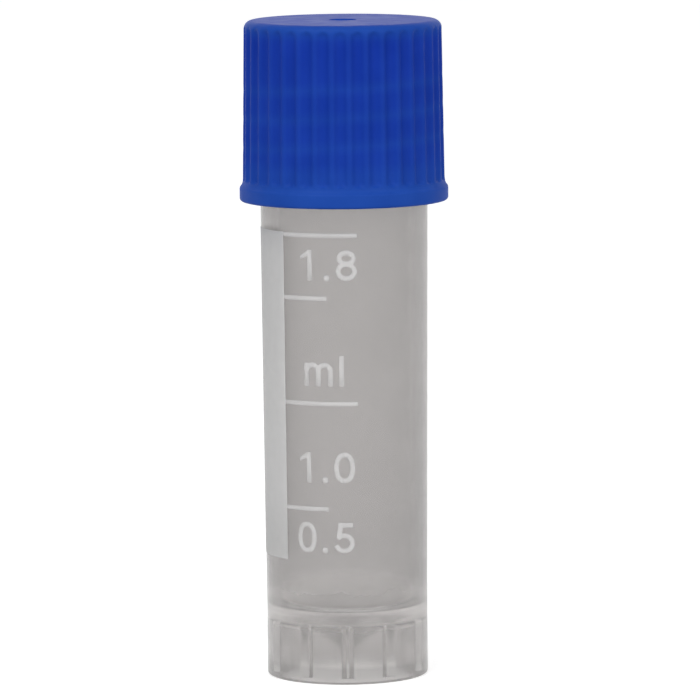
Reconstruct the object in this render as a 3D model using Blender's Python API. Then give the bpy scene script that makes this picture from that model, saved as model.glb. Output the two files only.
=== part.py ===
"""Self-standing cryogenic vial with a fluted screw cap and a sealing ring.

Units are metres and +Z is up. The origin is the centre of the ring that the vial stands on.
The printed scale faces -Y. The cap turns about the Z axis on a right-hand thread.
"""
import math

import bmesh
import bpy

MM = 0.001
MILLILITRE = 1.0e-6
FULL_TURN = 2.0 * math.pi
FRONT = -math.pi / 2.0

# Tube: barrel and bore
TUBE_HEIGHT = 43.7 * MM
BARREL_TOP_RADIUS = 5.85 * MM
BARREL_FOOT_RADIUS = 5.64 * MM
BORE_TOP_RADIUS = 4.69 * MM
BORE_FLOOR_RADIUS = 4.63 * MM
RIM_EDGE = 0.2 * MM
SHOULDER_COVER = 0.8 * MM
SHOULDER_SLOPE_HEIGHT = 0.4 * MM

# Tube: floor with a cone under its middle, standing skirt and the ribs inside the skirt
FLOOR_HEIGHT = 4.9 * MM
FLOOR_THICKNESS = 0.95 * MM
FLOOR_FILLET = 0.8 * MM
UNDER_FLOOR_FILLET = 0.15 * MM
CONE_DEPTH = 1.99 * MM
CONE_ANGLE = math.radians(37.0)
CONE_TIP_RADIUS = 0.6 * MM
SKIRT_WALL = 1.04 * MM
FOOT_EDGE = 0.2 * MM
RIB_COUNT = 10
RIB_WIDTH = 0.5 * MM
RIB_DEPTH = 0.5 * MM
RIB_LIFT = 0.35 * MM

# Screw thread, shared by the neck and the cap
THREAD_LEAD = 2.0 * MM
THREAD_DEPTH = 0.5 * MM
THREAD_ROOT_WIDTH = 1.05 * MM
THREAD_CREST_WIDTH = 0.5 * MM
THREAD_TURNS = 3.0
THREAD_RUN_OUT = math.radians(45.0)
THREAD_CLEARANCE = 0.2 * MM
NECK_THREAD_START = 1.9 * MM
CAP_THREAD_START = 3.2 * MM
CAP_THREAD_ANGLE = math.radians(85.0)

# Sealing ring
SEAL_THICKNESS = 1.0 * MM
SEAL_OVERHANG = 0.3 * MM
SEAL_CLEARANCE = 0.15 * MM
SEAT_GAP = 0.05 * MM

# Screw cap
CAP_HEIGHT = 12.6 * MM
CAP_TOP_THICKNESS = 1.2 * MM
CAP_TOP_RADIUS = 6.92 * MM
CAP_FOOT_RADIUS = 7.07 * MM
CAP_TOP_EDGE = 0.42 * MM
CAP_MOUTH_CHAMFER = 0.3 * MM
BEAD_RADIUS = 7.29 * MM
BEAD_HEIGHT = 1.05 * MM
BEAD_EDGE = 0.14 * MM
FLUTE_COUNT = 36
FLUTE_WIDTH = 0.85 * MM
FLUTE_DEPTH = 0.22 * MM
FLUTE_TOP_MARGIN = 0.3 * MM
FLUTE_ANGLE = FRONT - math.radians(1.6)
GATE_RADIUS = 0.95 * MM
GATE_DEPTH = 0.35 * MM

# Printed writing panel and scale
SCALE_VOLUMES = (0.5 * MILLILITRE, 1.0 * MILLILITRE, 1.5 * MILLILITRE, 1.8 * MILLILITRE)
SCALE_LONG_LINES = (1.0 * MILLILITRE, 1.8 * MILLILITRE)
LINE_THICKNESS = 0.3 * MM
LONG_LINE = 5.5 * MM
SHORT_LINE = 3.4 * MM
PANEL_WIDTH = 6.2 * MM
PANEL_EDGE_FROM_FRONT = 4.65 * MM
PANEL_BELOW_SCALE = 3.7 * MM
INK_THICKNESS = 0.04 * MM
INK_GAP = 0.03 * MM

# Mesh fineness
TUBE_SEGMENTS = 48
CAP_SEGMENTS = 72
RING_SEGMENTS = 48
THREAD_STEPS = 40
ARC_STEPS = 3
ROD_SEGMENTS = 12
INK_STEP = math.radians(7.5)
THREAD_SINK = 0.3 * MM
RIB_SINK = 0.3 * MM
WELD = 1.0e-7
SHARP_ANGLE = math.radians(35.0)

# Places worked out from the sizes above
SEAL_BOTTOM = TUBE_HEIGHT + SEAT_GAP
CAP_CEILING = CAP_HEIGHT - CAP_TOP_THICKNESS
CAP_MOUTH_HEIGHT = SEAL_BOTTOM + SEAL_THICKNESS + SEAT_GAP - CAP_CEILING
SHOULDER_HEIGHT = CAP_MOUTH_HEIGHT + SHOULDER_COVER
NECK_RADIUS = BARREL_TOP_RADIUS - THREAD_DEPTH
CAP_BORE_RADIUS = BARREL_TOP_RADIUS + THREAD_CLEARANCE
SKIRT_BORE_RADIUS = BARREL_FOOT_RADIUS - SKIRT_WALL
FLOOR_UNDERSIDE = FLOOR_HEIGHT - FLOOR_THICKNESS
CONE_ROOT_RADIUS = CONE_TIP_RADIUS + CONE_DEPTH / math.tan(CONE_ANGLE)


def clear_scene():
    """Start from an empty scene."""
    for item in list(bpy.data.objects):
        bpy.data.objects.remove(item, do_unlink=True)


def plastic(name, colour, roughness, alpha=1.0):
    """A plain moulded-plastic or ink material."""
    material = bpy.data.materials.new(name)
    material.use_nodes = True
    shader = material.node_tree.nodes["Principled BSDF"]
    shader.inputs["Base Color"].default_value = (*colour, 1.0)
    shader.inputs["Roughness"].default_value = roughness
    shader.inputs["Metallic"].default_value = 0.0
    shader.inputs["Alpha"].default_value = alpha
    return material


def add_object(name, shape, material=None):
    """Turn a bmesh into a smooth-shaded object with sharp creases kept."""
    bmesh.ops.recalc_face_normals(shape, faces=shape.faces)
    mesh = bpy.data.meshes.new(name)
    shape.to_mesh(mesh)
    shape.free()
    mesh.shade_smooth()
    mesh.set_sharp_from_angle(angle=SHARP_ANGLE)
    if material:
        mesh.materials.append(material)
    item = bpy.data.objects.new(name, mesh)
    bpy.context.scene.collection.objects.link(item)
    return item


def hide_tool(item, owner):
    """Mark a helper solid that only shapes its owner, and let it follow the owner."""
    item.hide_render = True
    item.display_type = "WIRE"
    item.parent = owner


def combine(owner, tool, operation):
    """Join a helper solid to its owner, or cut it away, with an exact Boolean."""
    modifier = owner.modifiers.new(tool.name, "BOOLEAN")
    modifier.operation = operation
    modifier.solver = "EXACT"
    modifier.object = tool
    hide_tool(tool, owner)


def on_circle(radius, angle, height):
    """A point at a radius, an angle about Z and a height."""
    return (radius * math.cos(angle), radius * math.sin(angle), height)


def arc(centre_radius, centre_height, radius, start_degrees, end_degrees):
    """Profile points along a round edge, from one direction to another about its centre."""
    points = []
    for step in range(ARC_STEPS + 1):
        angle = math.radians(start_degrees + (end_degrees - start_degrees) * step / ARC_STEPS)
        points.append((centre_radius + radius * math.cos(angle), centre_height + radius * math.sin(angle)))
    return points


def turned(profile, segments, start_angle=0.0, closed=False):
    """Spin a profile of (radius, height) points about Z. An open profile starts and ends on the axis."""
    shape = bmesh.new()
    points = [shape.verts.new(on_circle(radius, start_angle, height)) for radius, height in profile]
    edges = [shape.edges.new(pair) for pair in zip(points, points[1:])]
    if closed:
        edges.append(shape.edges.new((points[-1], points[0])))
    bmesh.ops.spin(
        shape, geom=points + edges, cent=(0.0, 0.0, 0.0), axis=(0.0, 0.0, 1.0),
        angle=FULL_TURN, steps=segments, use_merge=True,
    )
    bmesh.ops.remove_doubles(shape, verts=shape.verts, dist=WELD)
    return shape


def barrel_radius(height):
    """Outer radius of the tapered barrel."""
    share = (height - FLOOR_HEIGHT) / (SHOULDER_HEIGHT - FLOOR_HEIGHT)
    return BARREL_FOOT_RADIUS + (BARREL_TOP_RADIUS - BARREL_FOOT_RADIUS) * min(max(share, 0.0), 1.0)


def bore_radius(height):
    """Inner radius of the tapered bore, above its floor."""
    share = (height - FLOOR_HEIGHT) / (TUBE_HEIGHT - FLOOR_HEIGHT)
    return BORE_FLOOR_RADIUS + (BORE_TOP_RADIUS - BORE_FLOOR_RADIUS) * share


def frustum_volume(low_radius, high_radius, height):
    """Volume of a round tapered space."""
    squares = low_radius ** 2 + low_radius * high_radius + high_radius ** 2
    return math.pi * height * squares / 3.0


def fillet_volume(radius, bend):
    """Volume that a round fillet takes from the corner between a bore and its flat floor."""
    section = bend ** 2 * (1.0 - math.pi / 4.0)
    from_wall = bend * (10.0 - 3.0 * math.pi) / (12.0 - 3.0 * math.pi)
    return FULL_TURN * (radius - from_wall) * section


def fill_height(volume):
    """Height at which the bore, above its filleted floor, holds a volume."""
    fillet = fillet_volume(BORE_FLOOR_RADIUS, FLOOR_FILLET)
    low, high = FLOOR_HEIGHT, TUBE_HEIGHT
    for _ in range(50):
        middle = (low + high) / 2.0
        held = frustum_volume(BORE_FLOOR_RADIUS, bore_radius(middle), middle - FLOOR_HEIGHT) - fillet
        if held < volume:
            low = middle
        else:
            high = middle
    return middle


def thread_ridge(name, wall_radius, crest_radius, start_angle, start_height):
    """A right-hand helical ridge, sunk a little into its wall, whose ends run out into that wall."""
    inward = math.copysign(THREAD_SINK, wall_radius - crest_radius)
    root_radius = wall_radius + inward
    buried_crest = wall_radius + inward / 2.0
    steps = round(THREAD_TURNS * THREAD_STEPS)
    shape = bmesh.new()
    sections = []
    for step in range(steps + 1):
        swept = FULL_TURN * THREAD_TURNS * step / steps
        left = FULL_TURN * THREAD_TURNS - swept
        grown = min(1.0, swept / THREAD_RUN_OUT, left / THREAD_RUN_OUT)
        crest = buried_crest + (crest_radius - buried_crest) * grown
        middle = start_height + THREAD_LEAD * swept / FULL_TURN
        outline = (
            (root_radius, middle - THREAD_ROOT_WIDTH / 2.0),
            (crest, middle - THREAD_CREST_WIDTH / 2.0),
            (crest, middle + THREAD_CREST_WIDTH / 2.0),
            (root_radius, middle + THREAD_ROOT_WIDTH / 2.0),
        )
        sections.append([shape.verts.new(on_circle(r, start_angle + swept, z)) for r, z in outline])
    for first, second in zip(sections, sections[1:]):
        for corner in range(len(first)):
            after = (corner + 1) % len(first)
            shape.faces.new((first[corner], first[after], second[after], second[corner]))
    shape.faces.new(sections[0])
    shape.faces.new(sections[-1])
    return add_object(name, shape)


def tube_profile():
    """Half section of the tube, from the underside of the floor round to its inside."""
    cone_tip = FLOOR_UNDERSIDE - CONE_DEPTH
    profile = [(0.0, cone_tip), (CONE_TIP_RADIUS, cone_tip), (CONE_ROOT_RADIUS, FLOOR_UNDERSIDE)]
    profile += arc(
        SKIRT_BORE_RADIUS - UNDER_FLOOR_FILLET, FLOOR_UNDERSIDE - UNDER_FLOOR_FILLET,
        UNDER_FLOOR_FILLET, 90.0, 0.0,
    )
    profile += [(SKIRT_BORE_RADIUS, 0.0)]
    profile += arc(BARREL_FOOT_RADIUS - FOOT_EDGE, FOOT_EDGE, FOOT_EDGE, -90.0, 0.0)
    profile += [(BARREL_FOOT_RADIUS, FLOOR_HEIGHT), (BARREL_TOP_RADIUS, SHOULDER_HEIGHT)]
    profile += [(NECK_RADIUS, SHOULDER_HEIGHT + SHOULDER_SLOPE_HEIGHT)]
    profile += [(NECK_RADIUS, TUBE_HEIGHT - RIM_EDGE), (NECK_RADIUS - RIM_EDGE, TUBE_HEIGHT)]
    profile += [(BORE_TOP_RADIUS, TUBE_HEIGHT)]
    profile += arc(BORE_FLOOR_RADIUS - FLOOR_FILLET, FLOOR_HEIGHT + FLOOR_FILLET, FLOOR_FILLET, 0.0, -90.0)
    profile += [(0.0, FLOOR_HEIGHT)]
    return profile


def skirt_ribs():
    """The ring of upright ribs that stiffens the skirt below the floor."""
    inner = SKIRT_BORE_RADIUS - RIB_DEPTH
    outer = SKIRT_BORE_RADIUS + RIB_SINK
    top = FLOOR_UNDERSIDE + FLOOR_THICKNESS / 2.0
    shape = bmesh.new()
    for index in range(RIB_COUNT):
        angle = FRONT + FULL_TURN * index / RIB_COUNT
        corners = []
        for height in (RIB_LIFT, top):
            for radius, side in ((inner, -0.5), (outer, -0.5), (outer, 0.5), (inner, 0.5)):
                x = radius * math.cos(angle) - side * RIB_WIDTH * math.sin(angle)
                y = radius * math.sin(angle) + side * RIB_WIDTH * math.cos(angle)
                corners.append(shape.verts.new((x, y, height)))
        low, high = corners[:4], corners[4:]
        shape.faces.new(low)
        shape.faces.new(high)
        for corner in range(4):
            after = (corner + 1) % 4
            shape.faces.new((low[corner], low[after], high[after], high[corner]))
    return add_object("skirt_ribs", shape)


def make_tube():
    """Barrel, floor, ribbed skirt and threaded neck as one moulded piece."""
    tube = add_object(
        "tube", turned(tube_profile(), TUBE_SEGMENTS),
        plastic("translucent_polypropylene", (0.72, 0.71, 0.70), 0.35, 0.6),
    )
    start_height = SHOULDER_HEIGHT + NECK_THREAD_START
    cap_start = CAP_MOUTH_HEIGHT + CAP_THREAD_START
    turns_on = (start_height + THREAD_LEAD / 2.0 - cap_start) / THREAD_LEAD
    ridge = thread_ridge(
        "neck_thread", NECK_RADIUS, BARREL_TOP_RADIUS, CAP_THREAD_ANGLE + FULL_TURN * turns_on, start_height,
    )
    combine(tube, skirt_ribs(), "UNION")
    combine(tube, ridge, "UNION")
    return tube


def cap_profile():
    """Half section of the cap above its mouth, from the gate dimple round to the ceiling."""
    profile = [(0.0, CAP_HEIGHT - GATE_DEPTH), (GATE_RADIUS / 2.0, CAP_HEIGHT - GATE_DEPTH)]
    profile += [(GATE_RADIUS, CAP_HEIGHT)]
    profile += arc(CAP_TOP_RADIUS - CAP_TOP_EDGE, CAP_HEIGHT - CAP_TOP_EDGE, CAP_TOP_EDGE, 90.0, 0.0)
    profile += [(CAP_FOOT_RADIUS, BEAD_HEIGHT), (BEAD_RADIUS - BEAD_EDGE, BEAD_HEIGHT)]
    profile += [(BEAD_RADIUS, BEAD_HEIGHT - BEAD_EDGE), (BEAD_RADIUS, BEAD_EDGE)]
    profile += [(BEAD_RADIUS - BEAD_EDGE, 0.0)]
    profile += [(CAP_BORE_RADIUS + CAP_MOUTH_CHAMFER, 0.0), (CAP_BORE_RADIUS, CAP_MOUTH_CHAMFER)]
    profile += [(CAP_BORE_RADIUS, CAP_CEILING), (0.0, CAP_CEILING)]
    return profile


def flute_rods():
    """Round-ended rods, leaning with the cap's draft, that cut the finger flutes."""
    rod_radius = (FLUTE_WIDTH ** 2 / 4.0 + FLUTE_DEPTH ** 2) / (2.0 * FLUTE_DEPTH)
    top = CAP_HEIGHT - FLUTE_TOP_MARGIN - rod_radius
    draft = (CAP_FOOT_RADIUS - CAP_TOP_RADIUS) / (CAP_HEIGHT - CAP_TOP_EDGE - BEAD_HEIGHT)
    rod_profile = [(0.0, BEAD_HEIGHT), (rod_radius, BEAD_HEIGHT)]
    rod_profile += arc(0.0, top, rod_radius, 0.0, 90.0)
    shape = bmesh.new()
    for index in range(FLUTE_COUNT):
        angle = FLUTE_ANGLE + FULL_TURN * index / FLUTE_COUNT
        rod = turned(rod_profile, ROD_SEGMENTS, angle)
        for point in rod.verts:
            wall = CAP_FOOT_RADIUS - draft * (point.co.z - BEAD_HEIGHT)
            reach = wall - FLUTE_DEPTH + rod_radius
            point.co.x += reach * math.cos(angle)
            point.co.y += reach * math.sin(angle)
        one_rod = bpy.data.meshes.new("flute_rod")
        rod.to_mesh(one_rod)
        rod.free()
        shape.from_mesh(one_rod)
        bpy.data.meshes.remove(one_rod)
    return add_object("flute_rods", shape)


def make_cap():
    """Fluted cap with its bead, gate dimple and inside thread, hung from the axis that it turns about."""
    axis = bpy.data.objects.new("cap_axis", None)
    axis.location = (0.0, 0.0, CAP_MOUTH_HEIGHT)
    bpy.context.scene.collection.objects.link(axis)
    cap = add_object(
        "screw_cap", turned(cap_profile(), CAP_SEGMENTS),
        plastic("blue_polypropylene", (0.010, 0.045, 0.34), 0.4),
    )
    cap.parent = axis
    ridge = thread_ridge(
        "cap_thread", CAP_BORE_RADIUS, CAP_BORE_RADIUS - THREAD_DEPTH, CAP_THREAD_ANGLE, CAP_THREAD_START,
    )
    combine(cap, flute_rods(), "DIFFERENCE")
    combine(cap, ridge, "UNION")
    return axis


def make_sealing_ring(axis):
    """Flat silicone washer between the neck's rim and the cap's ceiling."""
    inner = BORE_TOP_RADIUS - SEAL_OVERHANG
    outer = CAP_BORE_RADIUS - SEAL_CLEARANCE
    profile = [(inner, 0.0), (outer, 0.0), (outer, SEAL_THICKNESS), (inner, SEAL_THICKNESS)]
    ring = add_object(
        "sealing_ring", turned(profile, RING_SEGMENTS, closed=True),
        plastic("silicone", (0.75, 0.75, 0.72), 0.55),
    )
    ring.parent = axis
    ring.location = (0.0, 0.0, SEAL_BOTTOM - CAP_MOUTH_HEIGHT)
    return ring


def printed_areas():
    """The panel and the scale lines as (left, right, low, high) in angle about Z and height."""
    print_radius = (BARREL_TOP_RADIUS + BARREL_FOOT_RADIUS) / 2.0
    edge = FRONT - PANEL_EDGE_FROM_FRONT / print_radius
    heights = [fill_height(volume) for volume in SCALE_VOLUMES]
    panel_low = min(heights) - PANEL_BELOW_SCALE
    panel_high = max(heights) + LINE_THICKNESS / 2.0
    areas = [(edge - PANEL_WIDTH / print_radius, edge, panel_low, panel_high)]
    for volume, height in zip(SCALE_VOLUMES, heights):
        length = LONG_LINE if volume in SCALE_LONG_LINES else SHORT_LINE
        low = height - LINE_THICKNESS / 2.0
        areas.append((edge, edge + length / print_radius, low, low + LINE_THICKNESS))
    return areas


def sorted_levels(values):
    """Ascending values with repeats within the weld distance left out."""
    levels = []
    for value in sorted(values):
        if not levels or value - levels[-1] > WELD:
            levels.append(value)
    return levels


def make_printed_scale():
    """White ink panel with its volume lines, as one thin film wrapped round the barrel."""
    areas = printed_areas()
    heights = sorted_levels([level for area in areas for level in area[2:]])
    angles = []
    edges = sorted_levels([side for area in areas for side in area[:2]])
    for left, right in zip(edges, edges[1:]):
        parts = math.ceil((right - left) / INK_STEP)
        angles += [left + (right - left) * part / parts for part in range(parts)]
    angles.append(edges[-1])
    shape = bmesh.new()
    corners = {}

    def corner(column, row):
        if (column, row) not in corners:
            height = heights[row]
            place = on_circle(barrel_radius(height) + INK_GAP, angles[column], height)
            corners[column, row] = shape.verts.new(place)
        return corners[column, row]

    for column in range(len(angles) - 1):
        for row in range(len(heights) - 1):
            angle = (angles[column] + angles[column + 1]) / 2.0
            height = (heights[row] + heights[row + 1]) / 2.0
            if any(left < angle < right and low < height < high for left, right, low, high in areas):
                shape.faces.new((
                    corner(column, row), corner(column + 1, row),
                    corner(column + 1, row + 1), corner(column, row + 1),
                ))
    film = add_object("printed_panel_and_scale", shape, plastic("white_ink", (0.80, 0.80, 0.79), 0.5))
    solid = film.modifiers.new("ink_thickness", "SOLIDIFY")
    solid.thickness = INK_THICKNESS
    solid.offset = 1.0
    return film


clear_scene()
make_tube()
cap_axis = make_cap()
make_sealing_ring(cap_axis)
make_printed_scale()
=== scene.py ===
"""Looks of the cryogenic vial: finely moulded pieces, print, materials, studio light and camera.

Lengths are metres and +Z is up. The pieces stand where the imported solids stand, and the print faces -Y.
"""
import math

import bmesh
import bpy
import numpy as np
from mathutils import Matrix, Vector
from mathutils.geometry import delaunay_2d_cdt


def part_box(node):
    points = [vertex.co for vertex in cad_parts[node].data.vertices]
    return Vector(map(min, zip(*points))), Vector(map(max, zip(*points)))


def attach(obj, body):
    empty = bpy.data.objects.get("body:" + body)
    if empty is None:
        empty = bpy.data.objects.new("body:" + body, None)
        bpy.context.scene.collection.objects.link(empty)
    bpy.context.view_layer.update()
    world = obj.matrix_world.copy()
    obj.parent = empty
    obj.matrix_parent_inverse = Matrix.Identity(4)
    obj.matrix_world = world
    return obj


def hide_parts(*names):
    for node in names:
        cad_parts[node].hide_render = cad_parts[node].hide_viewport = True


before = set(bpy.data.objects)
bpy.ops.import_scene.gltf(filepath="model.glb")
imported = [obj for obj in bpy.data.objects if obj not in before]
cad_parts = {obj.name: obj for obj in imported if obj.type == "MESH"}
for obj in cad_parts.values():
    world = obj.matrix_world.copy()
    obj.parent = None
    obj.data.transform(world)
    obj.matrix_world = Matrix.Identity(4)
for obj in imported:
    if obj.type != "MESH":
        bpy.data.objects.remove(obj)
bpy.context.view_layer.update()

MM = 0.001
FULL_TURN = 2.0 * math.pi
FRONT = -math.pi / 2.0

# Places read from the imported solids
TUBE_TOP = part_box("tube")[1].z
SEAL_LOW, SEAL_HIGH = (corner.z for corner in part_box("sealing_ring"))
SEAL_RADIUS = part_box("sealing_ring")[1].x
CAP_MOUTH, CAP_TOP = (corner.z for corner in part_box("screw_cap"))
BEAD_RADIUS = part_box("screw_cap")[1].x
PANEL_LOW, PANEL_HIGH = (corner.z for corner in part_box("printed_panel_and_scale"))

# Tube
BARREL_TOP_RADIUS = 5.85 * MM
BARREL_FOOT_RADIUS = 5.64 * MM
BORE_TOP_RADIUS = 4.69 * MM
BORE_FLOOR_RADIUS = 4.63 * MM
NECK_RADIUS = 5.35 * MM
RIM_EDGE = 0.2 * MM
SHOULDER_COVER = 0.8 * MM
SHOULDER_HEIGHT = CAP_MOUTH + SHOULDER_COVER
SHOULDER_SLOPE_HEIGHT = 0.4 * MM
FLOOR_HEIGHT = 4.9 * MM
FLOOR_THICKNESS = 0.95 * MM
FLOOR_FILLET = 0.8 * MM
FLOOR_UNDERSIDE = FLOOR_HEIGHT - FLOOR_THICKNESS
UNDER_FLOOR_FILLET = 0.15 * MM
CONE_DEPTH = 1.99 * MM
CONE_ROOT_RADIUS = 3.24 * MM
CONE_ROOT_FILLET = 0.3 * MM
CONE_TIP_RADIUS = 0.6 * MM
CONE_TIP_FILLET = 0.7 * MM
SKIRT_BORE_RADIUS = 4.6 * MM
FOOT_EDGE = 0.2 * MM
FOOT_INNER_EDGE = 0.12 * MM
RIB_COUNT = 10
RIB_WIDTH = 0.5 * MM
RIB_DEPTH = 0.5 * MM
RIB_FLANK = 0.5 * MM
RIB_LIFT = 0.35 * MM

# Screw thread, shared by the neck and the cap
THREAD_LEAD = 2.0 * MM
THREAD_DEPTH = 0.5 * MM
THREAD_ROOT_WIDTH = 1.05 * MM
THREAD_CREST_WIDTH = 0.5 * MM
THREAD_TURNS = 3.0
THREAD_RUN_OUT = math.radians(45.0)
CAP_THREAD_START = CAP_MOUTH + 3.2 * MM
CAP_THREAD_ANGLE = math.radians(85.0)
NECK_THREAD_START = SHOULDER_HEIGHT + 1.9 * MM
NECK_THREAD_ANGLE = CAP_THREAD_ANGLE + FULL_TURN * (
    (NECK_THREAD_START + THREAD_LEAD / 2.0 - CAP_THREAD_START) / THREAD_LEAD
)

# Screw cap
CAP_TOP_THICKNESS = 1.2 * MM
CAP_TOP_RADIUS = 6.92 * MM
CAP_FOOT_RADIUS = 7.07 * MM
CAP_TOP_EDGE = 0.6 * MM
CAP_BORE_RADIUS = 6.05 * MM
CAP_MOUTH_CHAMFER = 0.3 * MM
CAP_CEILING_FILLET = 0.1 * MM
BEAD_HEIGHT = 1.05 * MM
BEAD_SLOPE_RISE = 0.15 * MM
BEAD_SLOPE_DROP = 0.09 * MM
BEAD_ROOT = 0.55 * MM
BEAD_TOP_EDGE = 0.25 * MM
BEAD_LOW_EDGE = 0.22 * MM
FLUTE_COUNT = 36
FLUTE_WIDTH = 0.85 * MM
FLUTE_DEPTH = 0.22 * MM
FLUTE_TOP_MARGIN = 0.3 * MM
FLUTE_ANGLE = FRONT - math.radians(1.6)
FLUTE_SOFTNESS = 0.11 * MM
FLUTE_FADE = 0.6 * MM
SINK_DEPTH = 0.014 * MM
SINK_WIDTH = 0.3 * MM
GATE_RADIUS = 0.95 * MM
GATE_FLOOR_RADIUS = 0.6 * MM
GATE_DEPTH = 0.35 * MM
GATE_EDGE = 0.08 * MM
GATE_LIP_TURN = (160.0, 90.0)
CAP_FLAT_RADII = (2.0 * MM, 6.0 * MM)

# Tube's finish: clear walls inside, a smoky skin outside whose tone by height is partly painted light and
# shade (darker at the foot, a light band round the solid floor, lighter towards the top), and haze on the
# floor's faces
SKIN_RADII = (4.9 * MM, 5.2 * MM)
SKIN_LEVEL = 34.0 * MM
SKIN_TINT = (1.0, 0.956, 0.937)
SKIN_TONE_AND_PAINTED_LIGHT = (
    (0.3 * MM, 0.38),
    (0.55 * MM, 0.32),
    (1.1 * MM, 0.32),
    (1.3 * MM, 0.50),
    (2.0 * MM, 0.47),
    (2.9 * MM, 0.43),
    (3.5 * MM, 0.43),
    (3.8 * MM, 0.52),
    (4.05 * MM, 0.68),
    (4.3 * MM, 0.78),
    (4.7 * MM, 0.72),
    (4.82 * MM, 0.45),
    (5.1 * MM, 0.45),
    (5.5 * MM, 0.56),
    (6.0 * MM, 0.54),
    (6.8 * MM, 0.38),
    (16.0 * MM, 0.415),
    (33.0 * MM, 0.437),
)
HAZE = ((3.5 * MM, 0.0), (3.8 * MM, 0.9), (5.9 * MM, 1.0), (6.6 * MM, 0.0))
TUBE_VEIL = (0.96, 1.0)
# Painted shade: darker greys for the cone under the floor
CONE_SHADE_GREYS = (0.40, 0.46)
TUBE_ROUGHNESS = (0.19, 0.27)
HAZY_ROUGHNESS = (0.30, 0.38)
TUBE_IOR = 1.49
TUBE_TRANSMISSION = 0.90
TUBE_CLOUDS = 260.0
TUBE_PATCHES = 700.0
TUBE_GRAIN = (700.0, 0.02, 0.02 * MM)

# Cap's painted light: blues by height, where 0 is the wall in painted shade and 1 the painted highlight on
# the rim and bead
CAP_PAINTED_LIGHT = (
    (34.6 * MM, 1.0),
    (35.1 * MM, 0.68),
    (35.7 * MM, 0.60),
    (36.5 * MM, 0.26),
    (37.5 * MM, 0.18),
    (41.5 * MM, 0.10),
    (43.0 * MM, 0.04),
    (44.5 * MM, 0.0),
    (44.9 * MM, 0.12),
    (45.3 * MM, 0.55),
    (45.7 * MM, 1.0),
    (45.93 * MM, 1.0),
    (46.0 * MM, 0.3),
)
# Painted highlight along the faint sink lines over the cap's thread: its strength, its half width in turns
# and the fade at its ends
SINK_HIGHLIGHT = 0.3
SINK_HIGHLIGHT_WIDTH = 0.3
SINK_HIGHLIGHT_FADE = 0.6 * MM
# Cap's blues, each as a pair that the soft clouds run between, and its sheen
# Painted shade in the flutes' grooves and painted highlight on their ridges
SHADED_GROOVE_BLUES = ((0.004, 0.030, 0.311), (0.006, 0.036, 0.345))
LIT_RIDGE_BLUES = ((0.006, 0.036, 0.322), (0.008, 0.042, 0.354))
# Painted highlight blues for the rim, the bead and the sink lines over the thread
HIGHLIGHT_BLUES = ((0.010, 0.058, 0.345), (0.013, 0.067, 0.380))
RIDGE_REACH = 0.6 * FLUTE_DEPTH
CAP_WALL_ROUGHNESS = (0.46, 0.58)
CAP_TOP_ROUGHNESS = (0.36, 0.46)
CAP_SPECULAR = 0.06
CAP_CLOUDS = 420.0
CAP_PATCHES = 900.0
CAP_GRAIN = (14000.0, 0.15, 0.02 * MM)

# Sealing ring and its finish
SEAL_OVERHANG = 0.3 * MM
SEAL_INNER_RADIUS = BORE_TOP_RADIUS - SEAL_OVERHANG
SEAL_EDGE = 0.18 * MM
SILICONE_SHADES = ((0.70, 0.70, 0.67), (0.78, 0.78, 0.75))
SILICONE_ROUGHNESS = (0.5, 0.62)
SILICONE_CLOUDS = 800.0
SILICONE_PATCHES = 1600.0
SILICONE_GRAIN = (12000.0, 0.2, 0.01 * MM)

# Print: writing panel and volume lines, measured round the barrel from the front
PRINT_RADIUS = (BARREL_TOP_RADIUS + BARREL_FOOT_RADIUS) / 2.0
PANEL_EDGE = -4.65 * MM
PANEL_WIDTH = 6.2 * MM
LINE_THICKNESS = 0.3 * MM
LONG_LINE = 5.5 * MM
SHORT_LINE = 3.4 * MM
LINE_HEIGHTS = ((12.363 * MM, SHORT_LINE), (19.732 * MM, LONG_LINE), (27.066 * MM, SHORT_LINE))
INK_THICKNESS = 0.026 * MM
INK_GAP = 0.004 * MM
INK_COLUMN = 0.2 * MM

# Ink's finish: how much of the tube it covers, and its white by height; the panel's white is painted light
# and shade, lighter low down and darker higher up
PANEL_COVER = 0.45
PANEL_PAINTED_SHADES = (
    (9.0 * MM, 1.0),
    (13.0 * MM, 0.99),
    (18.0 * MM, 0.87),
    (24.0 * MM, 0.83),
    (30.0 * MM, 0.88),
)
SCALE_COVER = 0.27
SCALE_SHADES = ((9.0 * MM, 0.95), (30.0 * MM, 0.95))
INK_VEIL = (0.96, 1.0)
INK_ROUGHNESS = (0.45, 0.6)
INK_SPECULAR = 0.3
INK_CLOUDS = 1500.0
INK_PATCHES = 2500.0
INK_GRAIN = (9000.0, 0.15, 0.01 * MM)

# Printed characters, drawn from their lower left corner, and the words with their places
STROKE = 0.33 * MM
DIGIT_WIDTH = 1.45 * MM
DIGIT_HEIGHT = 2.14 * MM
GLYPH_GAP = 0.44 * MM
ZERO_SQUARENESS = 2.3
ONE_STEM = 0.72 * MM
ONE_FLAG = (
    (0.17 * MM, 1.48 * MM),
    (0.86 * MM, 1.79 * MM),
    (0.86 * MM, DIGIT_HEIGHT),
    (0.77 * MM, DIGIT_HEIGHT),
    (0.17 * MM, 1.72 * MM),
)
FIVE_BAR = (0.33 * MM, 1.33 * MM)
FIVE_STEM = ((0.49 * MM, DIGIT_HEIGHT), (0.32 * MM, 1.0 * MM))
FIVE_BOWL = ((0.71 * MM, 0.71 * MM), 0.57 * MM, 0.54 * MM, 142.0, -165.0)
EIGHT_UPPER = ((DIGIT_WIDTH / 2.0, 1.58 * MM), 0.49 * MM, 0.39 * MM)
EIGHT_LOWER = ((DIGIT_WIDTH / 2.0, 0.67 * MM), (DIGIT_WIDTH - STROKE) / 2.0, 0.5 * MM)
DOT_RADIUS = 0.2 * MM
DOT_SQUARENESS = 3.0
M_HEIGHT = 1.62 * MM
M_LEG_SPACING = 0.88 * MM
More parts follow.
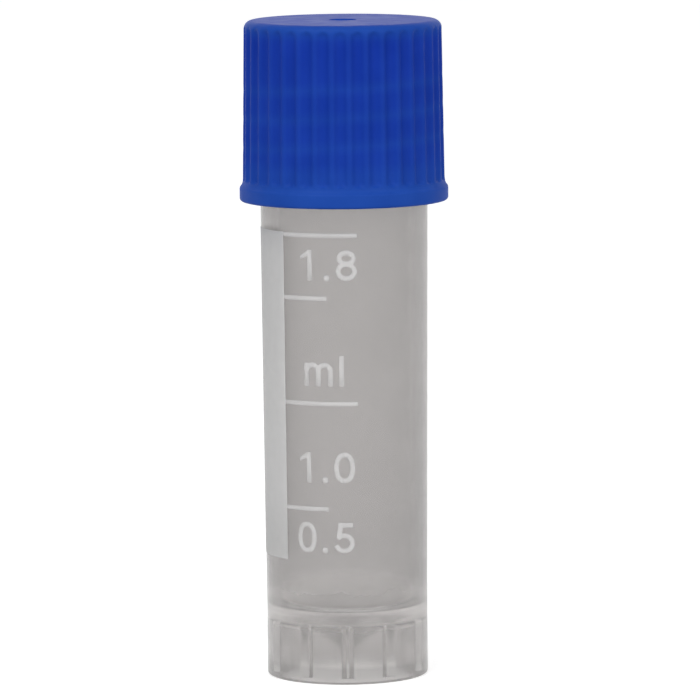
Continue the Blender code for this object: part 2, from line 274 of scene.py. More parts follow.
M_ARCH_HEIGHT = 1.04 * MM
M_ARCH_RISE = 0.45 * MM
WORDS = (
    ("numeral_1.8", "1.8", -3.34 * MM, 28.30 * MM),
    ("unit_ml", "ml", -2.95 * MM, 20.95 * MM),
    ("numeral_1.0", "1.0", -3.56 * MM, 14.20 * MM),
    ("numeral_0.5", "0.5", -3.61 * MM, 9.28 * MM),
)

# Mesh fineness
TUBE_SEGMENTS = 360
CAP_SEGMENTS = 432
RING_SEGMENTS = 180
ARC_STEPS = 8
WALL_STEP = 2.0 * MM
FLUTE_STEP = 0.15 * MM
THREAD_STEP = 0.12 * MM
OVAL_STEPS = 36
WELD = 1.0e-7
CDT_EPSILON = 1.0e-8
SHARP_ANGLE = math.radians(40.0)

# Shader nodes: soft noise, and the sockets of a colour mix
NOISE_DETAIL = 3.0
PATCH_EDGES = (0.3, 0.7)
MIX_FACTOR = 0
MIX_COLOURS = slice(6, 8)
MIX_RESULT = 2

# Camera, at the photograph's viewing angle
CAMERA_PLACE = (0.33 * MM, -454.5 * MM, 76.3 * MM)
CAMERA_PITCH = math.radians(6.71)
CAMERA_ROLL = math.radians(-0.47)
CAMERA_LENS = 336.0
CAMERA_SENSOR = 36.0

# Stage and light
FLOOR_HALF = 4.0
FLOOR_SHADE = (0.82, 0.82, 0.82)
FLOOR_ROUGHNESS = 0.9
FLOOR_LIFT = 0.59
ROOM_LIGHT = 0.43
LAMP_SIZE = 0.5
KEY_PLACE = (-0.35, -0.55, 0.60)
KEY_POWER = 3.3
FILL_PLACE = (0.42, -0.52, 0.35)
FILL_POWER = 1.7


def profile_arc(radius, height, bend, start_degrees, end_degrees):
    """Profile points along a round edge about a centre at a radius and a height."""
    turns = np.radians(np.linspace(start_degrees, end_degrees, ARC_STEPS + 1))
    return [(radius + bend * math.cos(turn), height + bend * math.sin(turn)) for turn in turns]


def rounded(corners):
    """Profile points through corners of (radius, height, bend), each rounded by its own bend."""
    points = []
    for index, (radius, height, bend) in enumerate(corners):
        here = Vector((radius, height))
        if not bend:
            points.append((radius, height))
            continue
        before = (Vector(corners[index - 1][:2]) - here).normalized()
        after = (Vector(corners[index + 1][:2]) - here).normalized()
        half = before.angle(after) / 2.0
        middle = here + (before + after).normalized() * bend / math.sin(half)
        first = here + before * bend / math.tan(half) - middle
        last = here + after * bend / math.tan(half) - middle
        start = math.degrees(math.atan2(first.y, first.x))
        points += profile_arc(middle.x, middle.y, bend, start, start - math.degrees(first.angle_signed(last)))
    return points


def straight(start, end, step):
    """Profile points from start to end, both kept, no further apart than step."""
    count = max(1, math.ceil(math.dist(start, end) / step))
    return [tuple(point) for point in np.linspace(start, end, count + 1)]


def finish_mesh(name, shape, material):
    """Turn a bmesh into a smooth-shaded object with sharp creases kept."""
    bmesh.ops.remove_doubles(shape, verts=shape.verts, dist=WELD)
    bmesh.ops.recalc_face_normals(shape, faces=shape.faces)
    mesh = bpy.data.meshes.new(name)
    shape.to_mesh(mesh)
    shape.free()
    mesh.shade_smooth()
    mesh.set_sharp_from_angle(angle=SHARP_ANGLE)
    mesh.materials.append(material)
    piece = bpy.data.objects.new(name, mesh)
    bpy.context.scene.collection.objects.link(piece)
    return piece


def spun(name, stretches, segments, material, closed=False):
    """Spin a half section about Z. A stretch is its (radius, height) points and its carving function."""
    angles = FULL_TURN * np.arange(segments) / segments
    shape = bmesh.new()
    rings = []
    for points, carve in stretches:
        for radius, height in points:
            radii = np.full(segments, radius)
            heights = np.full(segments, height)
            if carve:
                radii, heights = carve(radii, heights, angles)
            places = np.stack((radii * np.cos(angles), radii * np.sin(angles), heights), axis=1)
            rings.append([shape.verts.new(place) for place in places])
    pairs = list(zip(rings, rings[1:]))
    if closed:
        pairs.append((rings[-1], rings[0]))
    for first, second in pairs:
        for column in range(segments):
            after = (column + 1) % segments
            shape.faces.new((first[column], first[after], second[after], second[column]))
    return finish_mesh(name, shape, material)


def eased(share):
    """A share from 0 to 1 that starts and stops softly."""
    return share * share * (3.0 - 2.0 * share)


def thread_relief(heights, angles, start_angle, start_height):
    """How far a right-hand thread stands out at each place, from 0 to 1, and each place's height over it."""
    swept = ((angles - start_angle) / FULL_TURN) % 1.0
    turn = np.round((heights - start_height) / THREAD_LEAD - swept) + swept
    away = heights - start_height - turn * THREAD_LEAD
    run_out = THREAD_RUN_OUT / FULL_TURN
    grown = np.clip(np.minimum(turn, THREAD_TURNS - turn) / run_out, 0.0, 1.0)
    flank = (THREAD_ROOT_WIDTH - THREAD_CREST_WIDTH) / 2.0
    ridge = np.clip((THREAD_ROOT_WIDTH / 2.0 - np.abs(away)) / flank, 0.0, 1.0)
    return grown * eased(ridge), np.where(grown > 0.0, away, np.inf)


def carve_neck_thread(radii, heights, angles):
    """Raise the neck's thread."""
    relief, _ = thread_relief(heights, angles, NECK_THREAD_ANGLE, NECK_THREAD_START)
    return radii + THREAD_DEPTH * relief, heights


def carve_cap_thread(radii, heights, angles):
    """Raise the thread inside the cap."""
    relief, _ = thread_relief(heights, angles, CAP_THREAD_ANGLE, CAP_THREAD_START)
    return radii - THREAD_DEPTH * relief, heights


def carve_ribs(radii, heights, angles):
    """Raise the upright ribs inside the skirt, up to the underside of the floor."""
    inner = SKIRT_BORE_RADIUS - RIB_DEPTH
    spacing = FULL_TURN / RIB_COUNT
    across = SKIRT_BORE_RADIUS * ((angles - FRONT + spacing / 2.0) % spacing - spacing / 2.0)
    ridge = np.clip(((RIB_WIDTH + RIB_FLANK) / 2.0 - np.abs(across)) / RIB_FLANK, 0.0, 1.0)
    reach = np.where(heights > RIB_LIFT, np.maximum(radii - inner, 0.0), 0.0)
    return radii - reach * eased(ridge), heights


def carve_flutes(radii, heights, angles):
    """Press the finger flutes into the cap's wall, and the faint sink lines over its thread."""
    rod = (FLUTE_WIDTH ** 2 / 4.0 + FLUTE_DEPTH ** 2) / (2.0 * FLUTE_DEPTH)
    top = CAP_TOP - FLUTE_TOP_MARGIN - rod
    spacing = FULL_TURN / FLUTE_COUNT
    across = (angles - FLUTE_ANGLE + spacing / 2.0) % spacing - spacing / 2.0
    wall = cap_wall_radius(heights)
    above = np.maximum(heights - top, 0.0)
    reach = np.sqrt(np.maximum(rod ** 2 - (wall * across) ** 2 - above ** 2, 0.0))
    groove = wall - FLUTE_DEPTH + rod - reach
    carved = (radii + groove - np.sqrt((radii - groove) ** 2 + FLUTE_SOFTNESS ** 2)) / 2.0
    fade = np.clip((heights - CAP_MOUTH - BEAD_HEIGHT - BEAD_SLOPE_RISE) / FLUTE_FADE, 0.0, 1.0)
    carved = radii + (carved - radii) * fade * (2.0 - fade)
    _, away = thread_relief(heights, angles, CAP_THREAD_ANGLE, CAP_THREAD_START)
    return carved - SINK_DEPTH * np.exp(-((away / SINK_WIDTH) ** 2)), heights


def barrel_radius(height):
    """Outer radius of the tapered barrel."""
    share = (height - FLOOR_HEIGHT) / (SHOULDER_HEIGHT - FLOOR_HEIGHT)
    return BARREL_FOOT_RADIUS + (BARREL_TOP_RADIUS - BARREL_FOOT_RADIUS) * min(max(share, 0.0), 1.0)


def cap_wall_radius(heights):
    """Radius of the cap's wall, which leans in towards the top."""
    low = CAP_MOUTH + BEAD_HEIGHT
    high = CAP_TOP - CAP_TOP_EDGE
    share = np.clip((heights - low) / (high - low), 0.0, 1.0)
    return CAP_FOOT_RADIUS + (CAP_TOP_RADIUS - CAP_FOOT_RADIUS) * share


def make_tube(material):
    """Barrel, floor, ribbed skirt and threaded neck."""
    cone_tip = FLOOR_UNDERSIDE - CONE_DEPTH
    # The ribs end on a ring a hair above the plain skirt's first ring, so that their feet are flat
    rib_foot = (SKIRT_BORE_RADIUS, RIB_LIFT + WELD)
    underside = rounded((
        (0.0, cone_tip, 0.0),
        (CONE_TIP_RADIUS, cone_tip, CONE_TIP_FILLET),
        (CONE_ROOT_RADIUS, FLOOR_UNDERSIDE, CONE_ROOT_FILLET),
        (SKIRT_BORE_RADIUS, FLOOR_UNDERSIDE, UNDER_FLOOR_FILLET),
        (*rib_foot, 0.0),
    ))
    skirt = straight(underside[-2], rib_foot, WALL_STEP / 2.0)[1:]
    outside = rounded((
        (SKIRT_BORE_RADIUS, RIB_LIFT - WELD, 0.0),
        (SKIRT_BORE_RADIUS, 0.0, FOOT_INNER_EDGE),
        (BARREL_FOOT_RADIUS, 0.0, FOOT_EDGE),
        (BARREL_FOOT_RADIUS, FLOOR_HEIGHT, 0.0),
    ))
    outside += straight(outside[-1], (BARREL_TOP_RADIUS, SHOULDER_HEIGHT), WALL_STEP)[1:]
    neck_foot = (NECK_RADIUS, SHOULDER_HEIGHT + SHOULDER_SLOPE_HEIGHT)
    neck = straight(neck_foot, (NECK_RADIUS, TUBE_TOP - RIM_EDGE), THREAD_STEP)
    bore_foot = (BORE_FLOOR_RADIUS, FLOOR_HEIGHT + FLOOR_FILLET)
    rim = rounded((
        (*neck[-1], 0.0),
        (NECK_RADIUS, TUBE_TOP, RIM_EDGE),
        (BORE_TOP_RADIUS, TUBE_TOP, RIM_EDGE / 2.0),
        (*bore_foot, 0.0),
    ))
    inside = rim[1:-1] + straight(rim[-2], bore_foot, WALL_STEP)[1:]
    inside += rounded((
        (*bore_foot, 0.0),
        (BORE_FLOOR_RADIUS, FLOOR_HEIGHT, FLOOR_FILLET),
        (0.0, FLOOR_HEIGHT, 0.0),
    ))[2:]
    stretches = [
        (underside[:-1] + skirt, carve_ribs),
        (outside, None),
        (neck, carve_neck_thread),
        (inside, None),
    ]
    return spun("vial_tube", stretches, TUBE_SEGMENTS, material)


def make_cap(material):
    """Fluted cap with its bead, gate dimple and inside thread."""
    gate_floor = CAP_TOP - GATE_DEPTH
    ceiling = CAP_TOP - CAP_TOP_THICKNESS
    bead_top = CAP_MOUTH + BEAD_HEIGHT
    top = [(0.0, gate_floor), (GATE_FLOOR_RADIUS, gate_floor)]
    top += profile_arc(GATE_RADIUS + GATE_EDGE, CAP_TOP - GATE_EDGE, GATE_EDGE, *GATE_LIP_TURN)
    top += straight(*((radius, CAP_TOP) for radius in CAP_FLAT_RADII), WALL_STEP)
    wall = profile_arc(CAP_TOP_RADIUS - CAP_TOP_EDGE, CAP_TOP - CAP_TOP_EDGE, CAP_TOP_EDGE, 90.0, 0.0)
    bead = rounded((
        (CAP_FOOT_RADIUS, CAP_TOP, 0.0),
        (CAP_FOOT_RADIUS, bead_top + BEAD_SLOPE_RISE, BEAD_ROOT),
        (BEAD_RADIUS, bead_top - BEAD_SLOPE_DROP, BEAD_TOP_EDGE),
        (BEAD_RADIUS, CAP_MOUTH, BEAD_LOW_EDGE),
        (CAP_BORE_RADIUS + CAP_MOUTH_CHAMFER, CAP_MOUTH, 0.0),
    ))[1:]
    wall += straight(wall[-1], bead[0], FLUTE_STEP)[1:-1]
    thread_low = CAP_THREAD_START - THREAD_ROOT_WIDTH
    thread_high = CAP_THREAD_START + THREAD_TURNS * THREAD_LEAD + THREAD_ROOT_WIDTH
    bore = [(CAP_BORE_RADIUS, CAP_MOUTH + CAP_MOUTH_CHAMFER)]
    bore += straight((CAP_BORE_RADIUS, thread_low), (CAP_BORE_RADIUS, thread_high), THREAD_STEP)
    inside = profile_arc(
        CAP_BORE_RADIUS - CAP_CEILING_FILLET, ceiling - CAP_CEILING_FILLET, CAP_CEILING_FILLET, 0.0, 90.0,
    )
    inside += [(0.0, ceiling)]
    stretches = [(top, None), (wall, carve_flutes), (bead, None), (bore, carve_cap_thread), (inside, None)]
    return spun("fluted_screw_cap", stretches, CAP_SEGMENTS, material)


def make_seal(material):
    """Silicone washer with moulded round edges."""
    section = []
    for radius, height, start in (
        (SEAL_RADIUS - SEAL_EDGE, SEAL_LOW + SEAL_EDGE, -90.0),
        (SEAL_RADIUS - SEAL_EDGE, SEAL_HIGH - SEAL_EDGE, 0.0),
        (SEAL_INNER_RADIUS + SEAL_EDGE, SEAL_HIGH - SEAL_EDGE, 90.0),
        (SEAL_INNER_RADIUS + SEAL_EDGE, SEAL_LOW + SEAL_EDGE, 180.0),
    ):
        section += profile_arc(radius, height, SEAL_EDGE, start, start + 90.0)
    return spun("silicone_seal", [(section, None)], RING_SEGMENTS, material, closed=True)


def box_area(left, right, low, high):
    """An upright rectangle of print."""
    return [(left, low), (right, low), (right, high), (left, high)]


def oval(middle, half_width, half_height, start_degrees=0.0, end_degrees=360.0, squareness=2.0):
    """Points round an oval, or part of one, between two directions."""
    points = []
    for turn in np.radians(np.linspace(start_degrees, end_degrees, OVAL_STEPS + 1)):
        across = math.copysign(abs(math.cos(turn)) ** (2.0 / squareness), math.cos(turn))
        up = math.copysign(abs(math.sin(turn)) ** (2.0 / squareness), math.sin(turn))
        points.append((middle[0] + half_width * across, middle[1] + half_height * up))
    return points


def stroke(path):
    """Four-cornered areas along a pen's path. A path that ends where it starts is closed."""
    closed = math.dist(path[0], path[-1]) < WELD
    sides = []
    for index, here in enumerate(path):
        before = path[index - 1] if index else (path[-2] if closed else here)
        after = path[index + 1] if index < len(path) - 1 else (path[1] if closed else here)
        along = (Vector(after) - Vector(before)).normalized()
        across = Vector((-along.y, along.x)) * STROKE / 2.0
        sides.append((tuple(Vector(here) - across), tuple(Vector(here) + across)))
    return [[first[0], second[0], second[1], first[1]] for first, second in zip(sides, sides[1:])]


def glyph_areas(letter):
    """The areas of one printed character from its lower left corner, and its width."""
    half = STROKE / 2.0
    if letter == "0":
        middle = (DIGIT_WIDTH / 2.0, DIGIT_HEIGHT / 2.0)
        ring = oval(middle, middle[0] - half, middle[1] - half, squareness=ZERO_SQUARENESS)
        return stroke(ring), DIGIT_WIDTH
    if letter == "1":
        stem = box_area(ONE_STEM, ONE_STEM + STROKE, 0.0, DIGIT_HEIGHT)
        return [stem, ONE_FLAG], DIGIT_WIDTH
    if letter == "5":
        bar = box_area(*FIVE_BAR, DIGIT_HEIGHT - STROKE, DIGIT_HEIGHT)
        return [bar] + stroke(FIVE_STEM) + stroke(oval(*FIVE_BOWL)), DIGIT_WIDTH
    if letter == "8":
        return stroke(oval(*EIGHT_UPPER)) + stroke(oval(*EIGHT_LOWER)), DIGIT_WIDTH
    if letter == ".":
        dot = oval((DOT_RADIUS, DOT_RADIUS), DOT_RADIUS, DOT_RADIUS, squareness=DOT_SQUARENESS)
        return [dot[:-1]], 2.0 * DOT_RADIUS
    if letter == "m":
        areas = [box_area(0.0, STROKE, 0.0, M_HEIGHT)]
        reach = M_LEG_SPACING / 2.0
        for leg in (1, 2):
            foot = (half + M_LEG_SPACING * leg, 0.0)
            areas += stroke(oval((foot[0] - reach, M_ARCH_HEIGHT), reach, M_ARCH_RISE, 180.0, 0.0) + [foot])
        return areas, STROKE + 2.0 * M_LEG_SPACING
    return [box_area(0.0, STROKE, 0.0, DIGIT_HEIGHT)], STROKE


def word_areas(word, left, bottom):
    """The areas of a printed word whose lower left corner is given."""
    areas = []
    for letter in word:
        shapes, width = glyph_areas(letter)
        areas += [[(left + x, bottom + y) for x, y in area] for area in shapes]
        left += width + GLYPH_GAP
    return areas


def printed(name, areas, material):
    """A thin film of ink on the barrel: areas joined, cut into narrow columns, wrapped and thickened."""
    corners, faces, edges = [], [], []
    for area in areas:
        faces.append(list(range(len(corners), len(corners) + len(area))))
        corners += [Vector(corner) for corner in area]
    low, high = (pick(corner.y for corner in corners) for pick in (min, max))
    left, right = (pick(corner.x for corner in corners) for pick in (min, max))
    for column in range(math.ceil(left / INK_COLUMN), math.ceil(right / INK_COLUMN)):
        edges.append((len(corners), len(corners) + 1))
        corners += [Vector((column * INK_COLUMN, low)), Vector((column * INK_COLUMN, high))]
    flat = delaunay_2d_cdt(corners, edges, faces, 0, CDT_EPSILON, True)
    shape = bmesh.new()
    points = []
    for corner in flat[0]:
        radius = barrel_radius(corner.y) + INK_GAP
        angle = FRONT + corner.x / PRINT_RADIUS
        points.append(shape.verts.new((radius * math.cos(angle), radius * math.sin(angle), corner.y)))
    for face, owners in zip(flat[2], flat[5]):
        if owners:
            shape.faces.new([points[index] for index in face])
    bmesh.ops.delete(shape, geom=[point for point in points if not point.link_faces], context="VERTS")
    piece = finish_mesh(name, shape, material)
    film = piece.modifiers.new("ink_thickness", "SOLIDIFY")
    film.thickness = INK_THICKNESS
    film.offset = 1.0
    return piece


def line_areas():
    """The scale lines that run from the writing panel's edge."""
    areas = []
    top_line = (PANEL_HIGH - LINE_THICKNESS / 2.0, LONG_LINE)
    for height, length in LINE_HEIGHTS + (top_line,):
        low = height - LINE_THICKNESS / 2.0
        areas.append(box_area(PANEL_EDGE, PANEL_EDGE + length, low, low + LINE_THICKNESS))
    return areas


def new_material(name):
    """A material with its node tree and its Principled shader."""
    material = bpy.data.materials.new(name)
    material.use_nodes = True
    return material, material.node_tree, material.node_tree.nodes["Principled BSDF"]


def cloudy(tree, scale):
    """Soft random values over a piece, from 0 to 1. The scale is in patches per metre."""
    place = tree.nodes.new("ShaderNodeTexCoord")
    noise = tree.nodes.new("ShaderNodeTexNoise")
    noise.inputs["Scale"].default_value = scale
    noise.inputs["Detail"].default_value = NOISE_DETAIL
    tree.links.new(place.outputs["Object"], noise.inputs["Vector"])
    return noise.outputs["Fac"]


def ramp(tree, value, stops):
    """Colour picked by a value, from stops of (position, colour)."""
    node = tree.nodes.new("ShaderNodeValToRGB")
    elements = node.color_ramp.elements
    while len(elements) < len(stops):
        elements.new(1.0)
    for element, (position, colour) in zip(elements, stops):
        element.position = position
        element.color = (*colour, 1.0)
    tree.links.new(value, node.inputs["Fac"])
    return node.outputs["Color"]


def spread(tree, clouds, pair):
    """Soft random values turned into colours, or greys, between a pair of them."""
    colours = [grey(tone) if isinstance(tone, float) else tone for tone in pair]
    return ramp(tree, clouds, tuple(zip(PATCH_EDGES, colours)))


def clouded(tree, scale, pair, target):
    """Feed a shader with colours, or greys, that drift between a pair of them in soft patches."""
    tree.links.new(spread(tree, cloudy(tree, scale), pair), target)


def mapped(tree, value, low, high):
    """A value brought from the range low to high into 0 to 1."""
    node = tree.nodes.new("ShaderNodeMapRange")
    node.inputs["From Min"].default_value = low
    node.inputs["From Max"].default_value = high
    tree.links.new(value, node.inputs["Value"])
    return node.outputs["Result"]


def mixed(tree, blend, factor, first, second):
    """Two colours mixed. The factor is a number or a value from another node."""
    node = tree.nodes.new("ShaderNodeMix")
    node.data_type = "RGBA"
    node.blend_type = blend
    share, colours = node.inputs[MIX_FACTOR], node.inputs[MIX_COLOURS]
    if isinstance(factor, float):
        share.default_value = factor
    else:
        tree.links.new(factor, share)
    tree.links.new(first, colours[0])
    tree.links.new(second, colours[1])
    return node.outputs[MIX_RESULT]


def grain(tree, shader, scale, strength, distance):
    """Fine moulded surface texture."""
    bump = tree.nodes.new("ShaderNodeBump")
    bump.inputs["Strength"].default_value = strength
    bump.inputs["Distance"].default_value = distance
    tree.links.new(cloudy(tree, scale), bump.inputs["Height"])
    tree.links.new(bump.outputs["Normal"], shader.inputs["Normal"])


def grey(level):
    """A neutral colour."""
    return (level, level, level)


def counted(tree, operation, *values):
    """A sum, product or the like of numbers and values from other nodes."""
    node = tree.nodes.new("ShaderNodeMath")
    node.operation = operation
    for value, socket in zip(values, node.inputs):
        if isinstance(value, float):
            socket.default_value = value
        else:
            tree.links.new(value, socket)
    return node.outputs["Value"]


def polar(tree):
    """Distance from the Z axis, direction round it and height, on a piece."""
    place = tree.nodes.new("ShaderNodeTexCoord")
    parts = tree.nodes.new("ShaderNodeSeparateXYZ")
    tree.links.new(place.outputs["Object"], parts.inputs["Vector"])
    squares = [counted(tree, "MULTIPLY", parts.outputs[axis], parts.outputs[axis]) for axis in "XY"]
    radius = counted(tree, "SQRT", counted(tree, "ADD", *squares))
    return radius, counted(tree, "ARCTAN2", parts.outputs["Y"], parts.outputs["X"]), parts.outputs["Z"]


def sink_highlight_mask(tree, angle, height):
    """Where the painted highlight over the thread lies: 1 where the cap's wall is backed by its thread,
    fading to 0 between the turns and past both ends.
    """
    start = CAP_THREAD_ANGLE / FULL_TURN - CAP_THREAD_START / THREAD_LEAD
    turn = counted(tree, "MULTIPLY_ADD", height, 1.0 / THREAD_LEAD, start)
    turn = counted(tree, "MULTIPLY_ADD", angle, -1.0 / FULL_TURN, turn)
    near = mapped(tree, counted(tree, "PINGPONG", turn, 0.5), SINK_HIGHLIGHT_WIDTH, 0.0)
    end = CAP_THREAD_START + THREAD_TURNS * THREAD_LEAD
    begun = mapped(tree, height, CAP_THREAD_START - SINK_HIGHLIGHT_FADE, CAP_THREAD_START + SINK_HIGHLIGHT_FADE)
    ended = mapped(tree, height, end + SINK_HIGHLIGHT_FADE, end - SINK_HIGHLIGHT_FADE)
    return counted(tree, "MULTIPLY", near, counted(tree, "MULTIPLY", begun, ended))


def cap_plastic():
    """Satin blue polypropylene with faint flow clouds and a fine spark-eroded grain, with painted shade in
    the flutes, painted highlight on their ridges, the rim and the bead, and along the sink lines over the
    thread.
    """
    material, tree, shader = new_material("cap_polypropylene")
    radius, angle, height = polar(tree)
    foot, top = CAP_MOUTH + BEAD_HEIGHT, CAP_TOP - CAP_TOP_EDGE
    lean = (CAP_TOP_RADIUS - CAP_FOOT_RADIUS) / (top - foot)
    wall = counted(tree, "MULTIPLY_ADD", height, lean, CAP_FOOT_RADIUS - lean * foot)
    # Painted shade in the grooves and painted highlight on the ridges, by the depth of the flutes
    ridge = mapped(tree, counted(tree, "SUBTRACT", radius, wall), -RIDGE_REACH, 0.0)
    clouds = cloudy(tree, CAP_CLOUDS)
    grooves, ridges, light = (spread(tree, clouds, pair) for pair in (SHADED_GROOVE_BLUES, LIT_RIDGE_BLUES, HIGHLIGHT_BLUES))
    level = mapped(tree, height, CAP_MOUTH, CAP_TOP)
    # Painted light by height: highlight on the rim and bead, shade on the wall
    stops = [((place - CAP_MOUTH) / (CAP_TOP - CAP_MOUTH), grey(share)) for place, share in CAP_PAINTED_LIGHT]
    # Painted highlight along the sink lines over the thread
    thread = counted(tree, "MULTIPLY", sink_highlight_mask(tree, angle, height), SINK_HIGHLIGHT)
    painted_light = counted(tree, "ADD", ramp(tree, level, stops), thread)
    blues = mixed(tree, "MIX", painted_light, mixed(tree, "MIX", ridge, grooves, ridges), light)
    tree.links.new(blues, shader.inputs["Base Color"])
    patches = cloudy(tree, CAP_PATCHES)
    on_top = mapped(tree, height, top, CAP_TOP)
    matt, satin = (spread(tree, patches, pair) for pair in (CAP_WALL_ROUGHNESS, CAP_TOP_ROUGHNESS))
    tree.links.new(mixed(tree, "MIX", on_top, matt, satin), shader.inputs["Roughness"])
    shader.inputs["Specular IOR Level"].default_value = CAP_SPECULAR
    grain(tree, shader, *CAP_GRAIN)
    return material


def tube_plastic():
    """Natural polypropylene: clear walls, a hazy floor, a faintly smoky skin whose tone by height also
    carries painted light and shade, and a cone darkened by painted shade.
    """
    material, tree, shader = new_material("natural_polypropylene")
    radius, _, height = polar(tree)
    outer = mapped(tree, radius, *SKIN_RADII)
    inner = mapped(tree, radius, *reversed(SKIN_RADII))
    level = mapped(tree, height, 0.0, SKIN_LEVEL)
    # The skin's tone by height carries painted light and shade as well as its smoky colour
    shades = [(place / SKIN_LEVEL, tuple(shade * part for part in SKIN_TINT)) for place, shade in SKIN_TONE_AND_PAINTED_LIGHT]
    clouds = cloudy(tree, TUBE_CLOUDS)
    veil = spread(tree, clouds, TUBE_VEIL)
    skin = mixed(tree, "MULTIPLY", 1.0, ramp(tree, level, shades), veil)
    # Painted shade: the cone under the floor is greyed
    on_cone = counted(
        tree, "MULTIPLY",
        mapped(tree, radius, CONE_ROOT_RADIUS + CONE_ROOT_FILLET, CONE_ROOT_RADIUS),
        mapped(tree, height, FLOOR_HEIGHT, FLOOR_UNDERSIDE),
    )
    walls = mixed(tree, "MIX", on_cone, veil, spread(tree, clouds, CONE_SHADE_GREYS))
    tree.links.new(mixed(tree, "MIX", outer, walls, skin), shader.inputs["Base Color"])
    patches = cloudy(tree, TUBE_PATCHES)
    smooth, hazy = (spread(tree, patches, pair) for pair in (TUBE_ROUGHNESS, HAZY_ROUGHNESS))
    haze = ramp(tree, level, [(place / SKIN_LEVEL, grey(share)) for place, share in HAZE])
    on_floor = counted(tree, "MULTIPLY", inner, haze)
    tree.links.new(mixed(tree, "MIX", on_floor, smooth, hazy), shader.inputs["Roughness"])
    shader.inputs["IOR"].default_value = TUBE_IOR
    shader.inputs["Transmission Weight"].default_value = TUBE_TRANSMISSION
    grain(tree, shader, *TUBE_GRAIN)
    return material


def white_ink(name, cover, shades):
    """Matt white print, a little uneven in density, that lets part of the tube show through."""
    material, tree, shader = new_material(name)
    _, _, height = polar(tree)
    level = mapped(tree, height, 0.0, SKIN_LEVEL)
    # White by height: on the panel it is painted light and shade, on the scale it is even
    white = ramp(tree, level, [(place / SKIN_LEVEL, grey(shade)) for place, shade in shades])
    veil = spread(tree, cloudy(tree, INK_CLOUDS), INK_VEIL)
    tree.links.new(mixed(tree, "MULTIPLY", 1.0, white, veil), shader.inputs["Base Color"])
    clouded(tree, INK_PATCHES, INK_ROUGHNESS, shader.inputs["Roughness"])
    shader.inputs["Specular IOR Level"].default_value = INK_SPECULAR
    shader.inputs["Alpha"].default_value = cover
    grain(tree, shader, *INK_GRAIN)
    return material


def silicone():
    """Soft milky silicone rubber."""
    material, tree, shader = new_material("milky_silicone")
    clouded(tree, SILICONE_CLOUDS, SILICONE_SHADES, shader.inputs["Base Color"])
    clouded(tree, SILICONE_PATCHES, SILICONE_ROUGHNESS, shader.inputs["Roughness"])
    grain(tree, shader, *SILICONE_GRAIN)
    return material


def seen_directly(tree):
    """1 for rays from the camera, a reflection or a refraction, and 0 for rays that carry light."""
    path = tree.nodes.new("ShaderNodeLightPath")
    total = path.outputs["Is Camera Ray"]
    for name in ("Is Glossy Ray", "Is Transmission Ray"):
        total = counted(tree, "MAXIMUM", total, path.outputs[name])
    return total


def make_room():
    """Even room light that looks white wherever it is seen."""
    world = bpy.data.worlds.new("white_room")
    bpy.context.scene.world = world
    world.use_nodes = True
    tree = world.node_tree
    light = tree.nodes["Background"]
    light.inputs["Color"].default_value = (*grey(1.0), 1.0)
    light.inputs["Strength"].default_value = ROOM_LIGHT
    white = tree.nodes.new("ShaderNodeBackground")
    white.inputs["Color"].default_value = (*grey(1.0), 1.0)
    choice = tree.nodes.new("ShaderNodeMixShader")
    tree.links.new(seen_directly(tree), choice.inputs["Fac"])
    tree.links.new(light.outputs["Background"], choice.inputs[1])
    tree.links.new(white.outputs["Background"], choice.inputs[2])
    tree.links.new(choice.outputs["Shader"], tree.nodes["World Output"].inputs["Surface"])


def make_floor():
    """Pale floor that looks white where it is seen and keeps the vial's shadow."""
    material, tree, shader = new_material("pale_floor")
    shader.inputs["Base Color"].default_value = (*FLOOR_SHADE, 1.0)
    shader.inputs["Roughness"].default_value = FLOOR_ROUGHNESS
    shader.inputs["Specular IOR Level"].default_value = 0.0
    shader.inputs["Emission Color"].default_value = (*grey(FLOOR_LIFT), 1.0)
    tree.links.new(seen_directly(tree), shader.inputs["Emission Strength"])
    shape = bmesh.new()
    bmesh.ops.create_grid(shape, x_segments=1, y_segments=1, size=FLOOR_HALF)
    floor = finish_mesh("floor", shape, material)


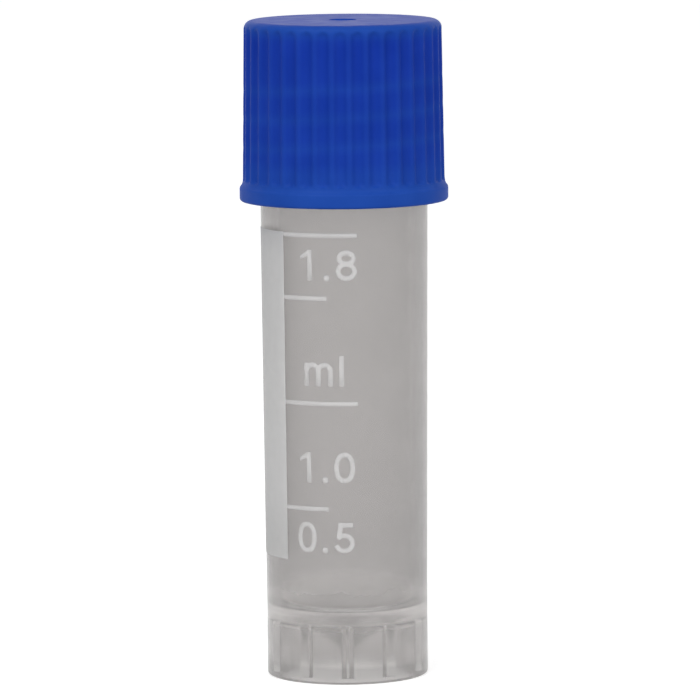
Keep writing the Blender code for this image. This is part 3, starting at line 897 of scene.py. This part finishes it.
def make_lamp(name, place, power):
    """A soft square lamp that faces the vial."""
    lamp = bpy.data.lights.new(name, "AREA")
    lamp.shape = "SQUARE"
    lamp.size = LAMP_SIZE
    lamp.energy = power
    item = bpy.data.objects.new(name, lamp)
    item.location = place
    aim = Vector((0.0, 0.0, CAP_TOP / 2.0)) - Vector(place)
    item.rotation_euler = aim.to_track_quat("-Z", "Y").to_euler()
    bpy.context.scene.collection.objects.link(item)


def make_camera():
    """Camera at the photograph's viewing angle."""
    data = bpy.data.cameras.new("photo_camera")
    data.lens = CAMERA_LENS
    data.sensor_width = CAMERA_SENSOR
    camera = bpy.data.objects.new("photo_camera", data)
    camera.location = CAMERA_PLACE
    camera.rotation_mode = "ZXY"
    camera.rotation_euler = (math.pi / 2.0 - CAMERA_PITCH, 0.0, CAMERA_ROLL)
    bpy.context.scene.collection.objects.link(camera)
    bpy.context.scene.camera = camera


def dress(piece, body, slot, *nodes):
    """Let a piece ride on its body and stand for its solid, whose imported piece is hidden. The slot is not
    used.
    """
    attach(piece, body)
    if nodes:
        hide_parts(*nodes)


bpy.context.scene.view_settings.view_transform = "Standard"
make_camera()
make_room()
make_floor()
make_lamp("key_lamp", KEY_PLACE, KEY_POWER)
make_lamp("fill_lamp", FILL_PLACE, FILL_POWER)

dress(make_tube(tube_plastic()), "vial", "tube_plastic", "tube")
panel_area = box_area(PANEL_EDGE - PANEL_WIDTH, PANEL_EDGE, PANEL_LOW, PANEL_HIGH)
panel = printed("writing_panel", [panel_area], white_ink("panel_ink", PANEL_COVER, PANEL_PAINTED_SHADES))
dress(panel, "vial", "white_ink", "printed_panel_and_scale")
scale_ink = white_ink("scale_ink", SCALE_COVER, SCALE_SHADES)
dress(printed("scale_lines", line_areas(), scale_ink), "vial", "white_ink")
for piece_name, word, left, bottom in WORDS:
    dress(printed(piece_name, word_areas(word, left, bottom), scale_ink), "vial", "white_ink")
dress(make_seal(silicone()), "seal", "seal_silicone", "sealing_ring")
dress(make_cap(cap_plastic()), "cap", "cap_plastic", "screw_cap")
